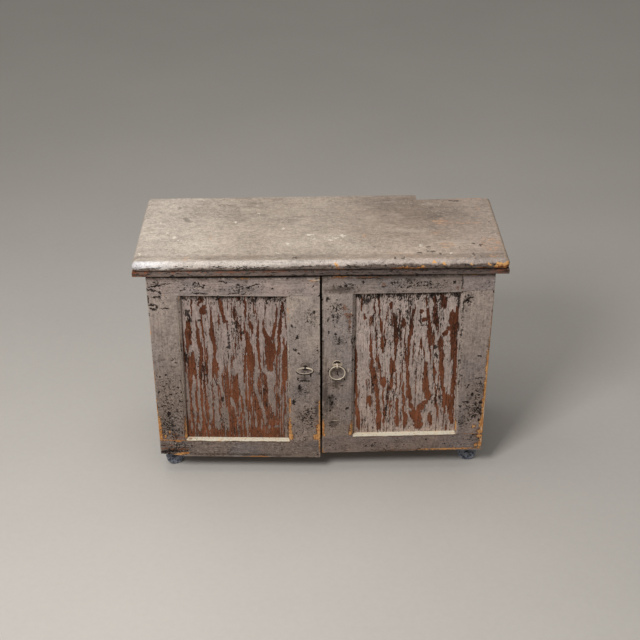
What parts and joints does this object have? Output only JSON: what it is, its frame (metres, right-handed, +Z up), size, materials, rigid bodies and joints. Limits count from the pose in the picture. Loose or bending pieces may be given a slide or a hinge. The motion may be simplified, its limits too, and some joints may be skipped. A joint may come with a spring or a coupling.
{
  "type": "parts cabinet",
  "caption": "Low wooden parts cabinet with panelled doors on butt hinges, ring pulls, an inner shelf, a rounded worktop and swivel casters.",
  "frame": {"origin": "on the floor, under the middle of the whole cabinet's bounding box at rest", "axes": "+X to the right along the front as seen from the front, +Y to the rear, +Z up"},
  "size_m": [1.1, 0.5154, 0.771],
  "materials": {
    "top_paint": "worn grey paint over pine",
    "frame_paint": "worn grey paint over pine",
    "dark_paint": "dark grey paint",
    "worn_panel": "bare red-brown pine with paint left in the grain",
    "inner_wood": "bare pine",
    "hinge_iron": "dark iron",
    "pull_iron": "dark worn iron",
    "ring_metal": "worn metal",
    "zinc_steel": "zinc-plated steel",
    "wheel_rubber": "blue-grey rubber"
  },
  "bodies": {
    "cabinet": {"left_side": "frame_paint", "right_side": "frame_paint", "bottom_board": "inner_wood", "shelf": "inner_wood", "shelf_cleats": "inner_wood", "top_front_rail": "inner_wood", "top_rear_rail": "inner_wood", "back_board_left": "inner_wood", "back_board_middle": "inner_wood", "back_board_right": "inner_wood", "top_board": "top_paint", "top_rear_strip": "top_paint", "under_strip_front": "dark_paint", "under_strip_left": "dark_paint", "under_strip_right": "dark_paint", "caster_bearer_left": "inner_wood", "caster_bearer_right": "inner_wood", "left_hinge_frame_leaves": "hinge_iron", "left_hinge_pins": "hinge_iron", "right_hinge_frame_leaves": "hinge_iron", "right_hinge_pins": "hinge_iron", "hinge_screws_carcass": "hinge_iron", "caster_plate_front_left": "zinc_steel", "caster_plate_front_right": "zinc_steel", "caster_plate_rear_left": "zinc_steel", "caster_plate_rear_right": "zinc_steel", "caster_screws": "zinc_steel"},
    "front_left_fork": {"caster_fork_front_left": "zinc_steel", "caster_axle_front_left": "zinc_steel"},
    "front_left_wheel": {"caster_wheel_front_left": "wheel_rubber"},
    "front_right_fork": {"caster_fork_front_right": "zinc_steel", "caster_axle_front_right": "zinc_steel"},
    "front_right_wheel": {"caster_wheel_front_right": "wheel_rubber"},
    "rear_left_fork": {"caster_fork_rear_left": "zinc_steel", "caster_axle_rear_left": "zinc_steel"},
    "rear_left_wheel": {"caster_wheel_rear_left": "wheel_rubber"},
    "rear_right_fork": {"caster_fork_rear_right": "zinc_steel", "caster_axle_rear_right": "zinc_steel"},
    "rear_right_wheel": {"caster_wheel_rear_right": "wheel_rubber"},
    "left_ring": {"left_pull_ring": "ring_metal"},
    "left_door": {"left_door_hinge_stile": "frame_paint", "left_door_meeting_stile": "frame_paint", "left_door_top_rail": "frame_paint", "left_door_bottom_rail": "frame_paint", "left_door_panel": "worn_panel", "left_pull_rosette": "pull_iron", "left_pull_eye": "pull_iron", "left_hinge_door_leaves": "hinge_iron", "hinge_screws_left_door": "hinge_iron"},
    "right_ring": {"right_pull_ring": "ring_metal"},
    "right_door": {"right_door_hinge_stile": "frame_paint", "right_door_meeting_stile": "frame_paint", "right_door_top_rail": "frame_paint", "right_door_bottom_rail": "frame_paint", "right_door_panel": "worn_panel", "right_door_corner_block": "frame_paint", "right_pull_rosette": "pull_iron", "right_pull_eye": "pull_iron", "right_hinge_door_leaves": "hinge_iron", "hinge_screws_right_door": "hinge_iron"}
  },
  "joints": [
    {"name": "left_door_swing", "type": "hinge", "parent": "cabinet", "child": "left_door", "pos_m": [-0.514, -0.15204, 0.4], "axis": [0, 0, -1], "range_deg": [-1.9, 178]},
    {"name": "right_door_swing", "type": "hinge", "parent": "cabinet", "child": "right_door", "pos_m": [0.514, -0.15204, 0.4], "axis": [0, 0, 1], "range_deg": [-0.9, 179]},
    {"name": "left_ring_swing", "type": "hinge", "parent": "left_door", "child": "left_ring", "pos_m": [-0.04954, -0.20622, 0.41], "axis": [-0.9995, 0.0332, 0], "range_deg": [-105, 65]},
    {"name": "right_ring_swing", "type": "hinge", "parent": "right_door", "child": "right_ring", "pos_m": [0.04867, -0.19811, 0.41], "axis": [-0.9999, -0.0157, 0], "range_deg": [-5, 165]},
    {"name": "front_left_swivel", "type": "hinge", "parent": "cabinet", "child": "front_left_fork", "pos_m": [-0.451, -0.12179, 0.081], "axis": [0, 0, 1], "continuous": true},
    {"name": "front_left_roll", "type": "hinge", "parent": "front_left_fork", "child": "front_left_wheel", "pos_m": [-0.47449, -0.13034, 0.03], "axis": [-0.342, 0.9397, 0], "continuous": true},
    {"name": "front_right_swivel", "type": "hinge", "parent": "cabinet", "child": "front_right_fork", "pos_m": [0.451, -0.12179, 0.081], "axis": [0, 0, 1], "continuous": true},
    {"name": "front_right_roll", "type": "hinge", "parent": "front_right_fork", "child": "front_right_wheel", "pos_m": [0.47576, -0.12527, 0.03], "axis": [-0.1392, -0.9903, 0], "continuous": true},
    {"name": "rear_left_swivel", "type": "hinge", "parent": "cabinet", "child": "rear_left_fork", "pos_m": [-0.451, 0.17821, 0.081], "axis": [0, 0, 1], "continuous": true},
    {"name": "rear_left_roll", "type": "hinge", "parent": "rear_left_fork", "child": "rear_left_wheel", "pos_m": [-0.47148, 0.19255, 0.03], "axis": [0.5736, 0.8192, 0], "continuous": true},
    {"name": "rear_right_swivel", "type": "hinge", "parent": "cabinet", "child": "rear_right_fork", "pos_m": [0.451, 0.17821, 0.081], "axis": [0, 0, 1], "continuous": true},
    {"name": "rear_right_roll", "type": "hinge", "parent": "rear_right_fork", "child": "rear_right_wheel", "pos_m": [0.47015, 0.16214, 0.03], "axis": [-0.6428, -0.766, 0], "continuous": true}
  ]
}
